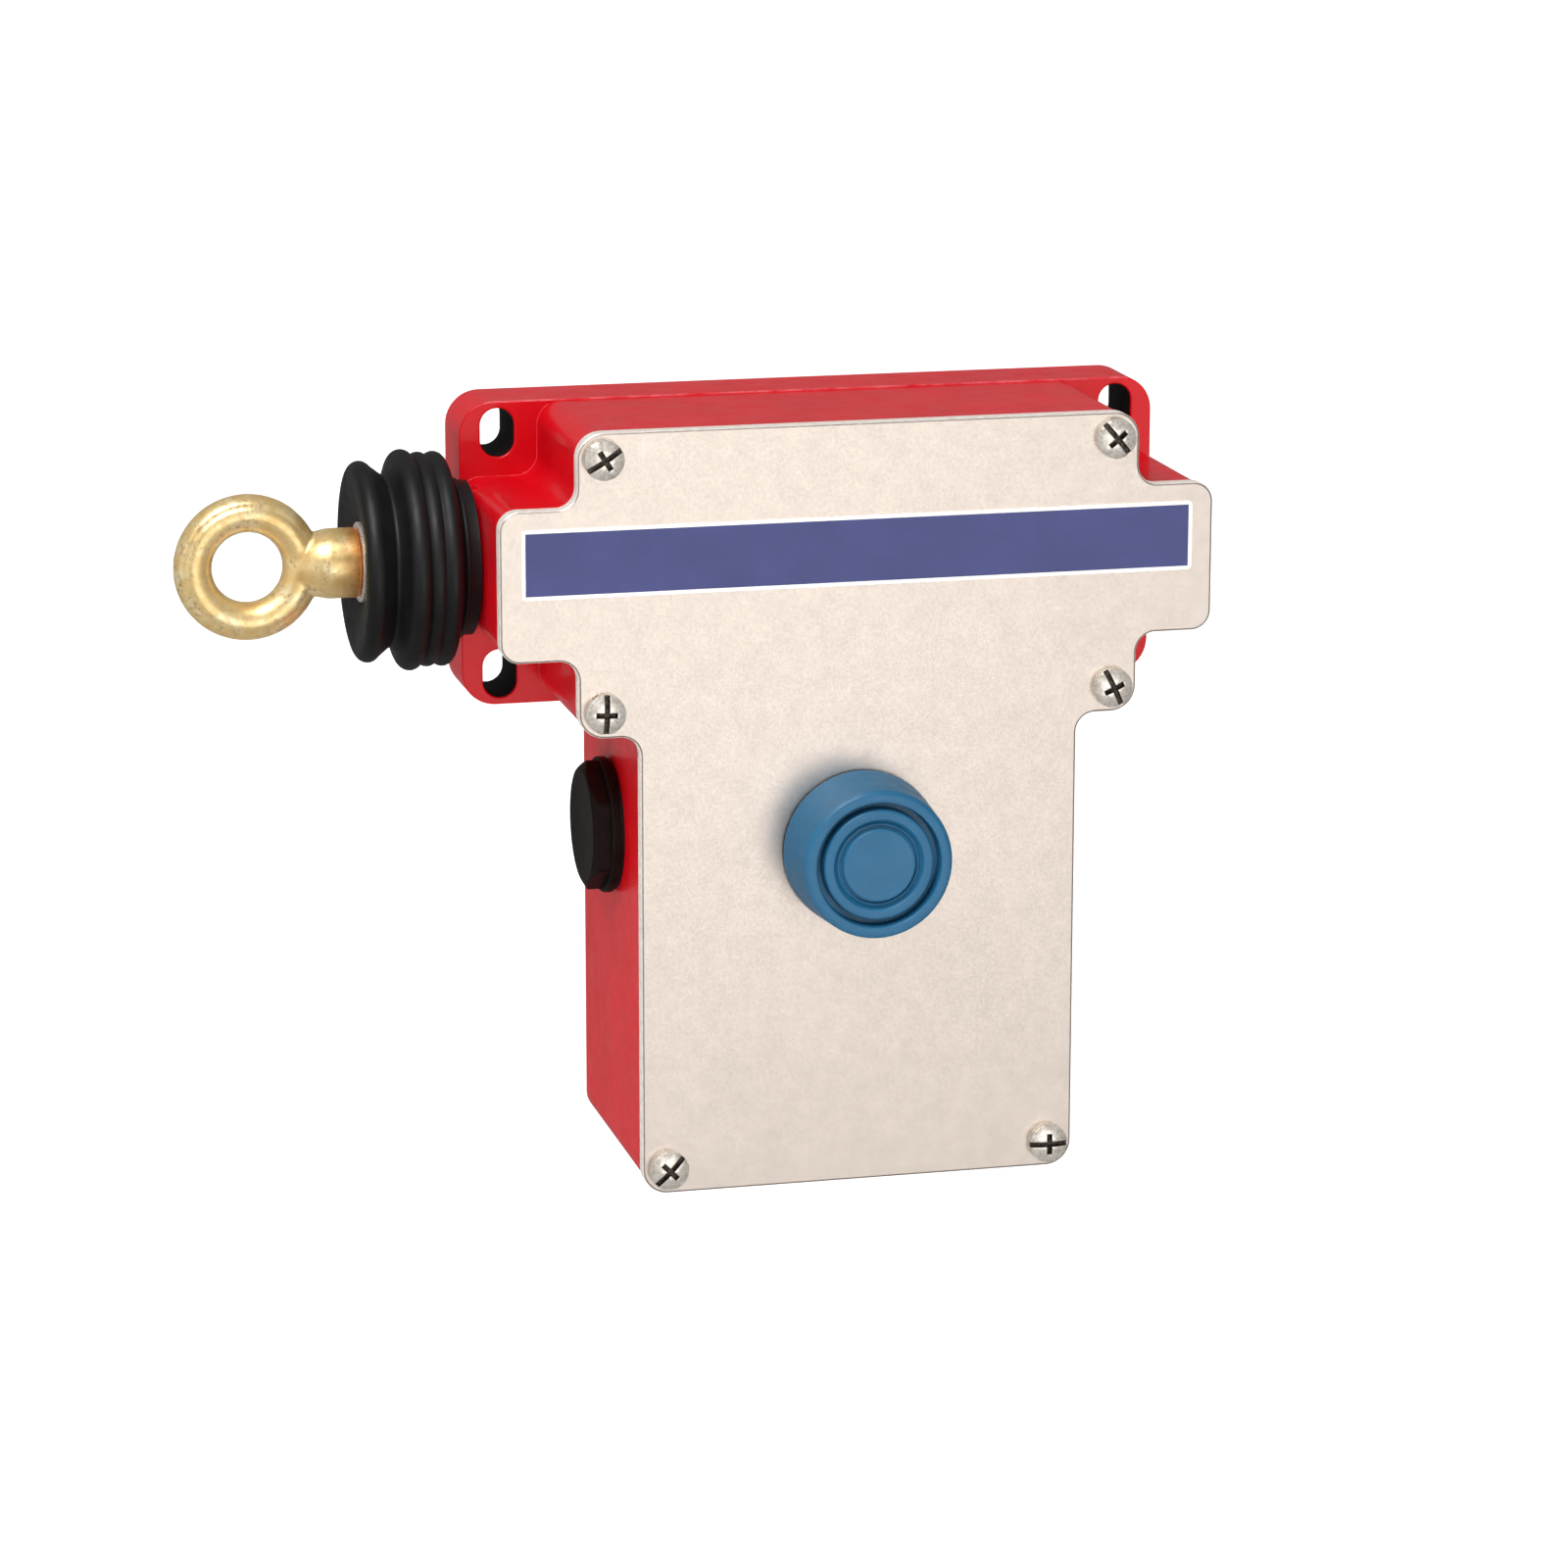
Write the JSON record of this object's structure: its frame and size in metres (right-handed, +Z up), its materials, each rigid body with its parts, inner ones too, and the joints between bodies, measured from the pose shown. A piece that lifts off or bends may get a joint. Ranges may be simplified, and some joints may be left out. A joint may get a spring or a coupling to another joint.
{
  "type": "rope pull emergency stop switch",
  "caption": "Wall-mounted latching rope-pull safety switch with a pull eye, rubber bellows and booted reset button.",
  "frame": {"origin": "on the wall face, midway between the four fixing slots", "axes": "+X to the right along the pull shaft, +Y into the wall, +Z up; the pull eye is on the -X end and the cover faces -Y"},
  "size_m": [0.2066, 0.0735, 0.157],
  "materials": {
    "red_enamel": "stoved gloss enamel on die-cast aluminium",
    "stainless_plate": "fine satin stainless sheet",
    "nickel_steel": "nickel plated",
    "printed_label": "blue printed film with a white border",
    "black_rubber": "matt moulded",
    "black_nylon": "moulded, satin",
    "blue_rubber": "satin moulded",
    "yellow_zinc": "yellow-passivated zinc plate",
    "bronze": "sintered",
    "bright_steel": "ground",
    "spring_steel": "drawn wire",
    "zinc_plated_sheet": "zinc plated pressing",
    "contact_brass": "rolled",
    "white_acetal": "moulded acetal",
    "red_acetal": "moulded acetal"
  },
  "bodies": {
    "housing_body": {"housing": "red_enamel", "cover_gasket": "black_rubber", "cover_plate": "stainless_plate", "cover_screws": "nickel_steel", "label_strip": "printed_label", "plug_seal_left": "black_rubber", "plug_seal_right": "black_rubber", "blanking_plug_left": "black_nylon", "blanking_plug_right": "black_nylon", "guide_bush": "bronze", "bellows": "black_rubber", "main_spring": "spring_steel", "mechanism_bracket": "zinc_plated_sheet", "bracket_screws": "nickel_steel", "pivot_pin": "bright_steel", "pivot_clips": "spring_steel", "latch_spring": "spring_steel", "reset_boot": "blue_rubber", "reset_seal": "black_rubber", "reset_bezel": "nickel_steel", "bezel_nut": "nickel_steel", "reset_spring": "spring_steel", "contact_case_left": "black_nylon", "contact_case_right": "black_nylon", "contact_lid_left": "black_nylon", "contact_lid_right": "black_nylon", "case_screws": "nickel_steel", "fixed_contacts_left": "contact_brass", "fixed_contacts_right": "contact_brass", "terminal_screws": "contact_brass", "plunger_spring_left": "spring_steel", "plunger_spring_right": "spring_steel", "earth_screw": "nickel_steel", "earth_washer": "contact_brass"},
    "puller": {"rope_eye": "yellow_zinc", "neck_washer": "nickel_steel", "pull_shaft": "bright_steel", "cam_slider": "white_acetal", "slider_pin": "bright_steel", "spring_washer": "nickel_steel", "shaft_nut": "nickel_steel"},
    "reset": {"reset_button": "white_acetal", "stem_clip": "spring_steel"},
    "latch": {"latch_lever": "zinc_plated_sheet"},
    "left_contact": {"plunger_left": "red_acetal", "contact_bridge_left": "contact_brass"},
    "right_contact": {"plunger_right": "red_acetal", "contact_bridge_right": "contact_brass"}
  },
  "joints": [
    {"name": "rope_pull", "type": "slide", "parent": "housing_body", "child": "puller", "axis": [-1, 0, 0], "range_m": [0, 0.01], "stiffness_N_per_m": 6000, "deforming": ["bellows", "main_spring"]},
    {"name": "reset_press", "type": "slide", "parent": "housing_body", "child": "reset", "axis": [0, 1, 0], "range_m": [0, 0.005], "stiffness_N_per_m": 1500, "deforming": ["reset_boot", "reset_spring"]},
    {"name": "latch_swing", "type": "hinge", "parent": "housing_body", "child": "latch", "pos_m": [0, -0.036, -0.028], "axis": [1, 0, 0], "range_deg": [0, 11.5], "deforming": ["latch_spring"]},
    {"name": "left_plunger_press", "type": "slide", "parent": "housing_body", "child": "left_contact", "axis": [0, 0, -1], "range_m": [0, 0.0025], "deforming": ["plunger_spring_left"]},
    {"name": "right_plunger_press", "type": "slide", "parent": "housing_body", "child": "right_contact", "axis": [0, 0, -1], "range_m": [0, 0.0025], "deforming": ["plunger_spring_right"]}
  ],
  "couplings": [
    {"joint": "left_plunger_press", "follows": "rope_pull", "ratio": 0.25},
    {"joint": "right_plunger_press", "follows": "rope_pull", "ratio": 0.25},
    {"joint": "latch_swing", "follows": "reset_press", "rad_per_m": 40}
  ]
}
